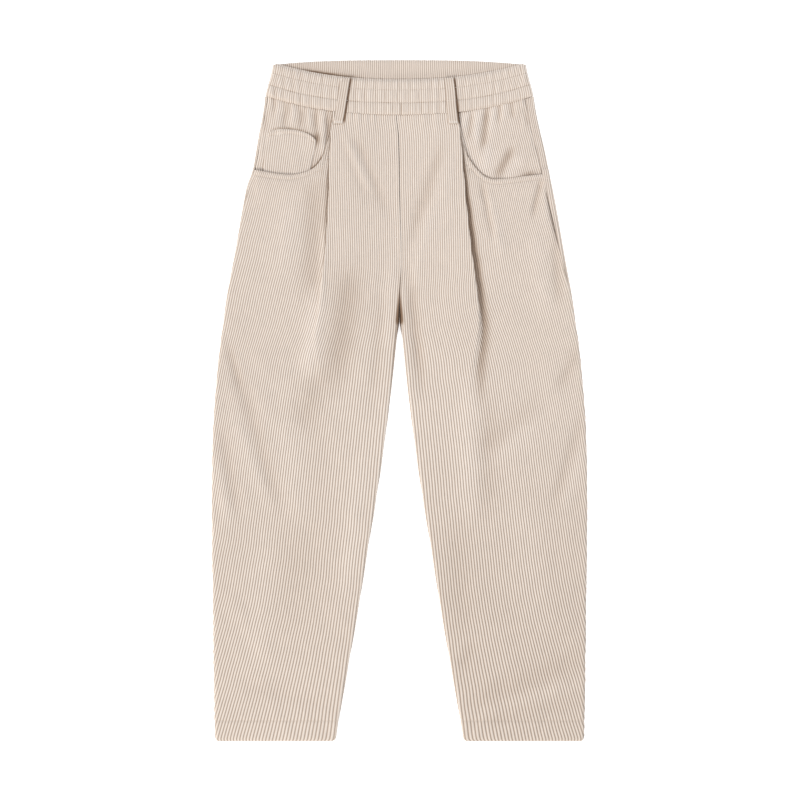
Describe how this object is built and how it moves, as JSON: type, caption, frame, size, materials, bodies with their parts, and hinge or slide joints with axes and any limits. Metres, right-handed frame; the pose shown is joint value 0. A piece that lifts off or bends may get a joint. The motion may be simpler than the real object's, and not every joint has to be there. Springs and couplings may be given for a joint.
{
  "type": "corduroy trousers",
  "caption": "Pull-on corduroy trousers laid flat, with a gathered elastic waist, front pleats, scooped pockets, a coin pocket, belt loops and tapered legs.",
  "frame": {"origin": "middle of the outline, on the surface that the trousers lie on", "axes": "+X towards the wearer's left, +Y up to the waist, +Z out of the front"},
  "size_m": [0.525, 0.9534, 0.0146],
  "materials": {
    "corduroy": "matt ribbed cotton pile in cream, ribs running down the leg",
    "waistband": "matt ribbed cotton pile in cream, gathered over elastic"
  },
  "bodies": {
    "root": {"front_left": "corduroy", "front_right": "corduroy", "back_left": "corduroy", "back_right": "corduroy", "pocket_facing_left": "corduroy", "pocket_facing_right": "corduroy", "coin_pocket": "corduroy", "waistband_front": "waistband", "waistband_back": "waistband", "belt_loop_left": "corduroy", "belt_loop_right": "corduroy"}
  },
  "joints": []
}
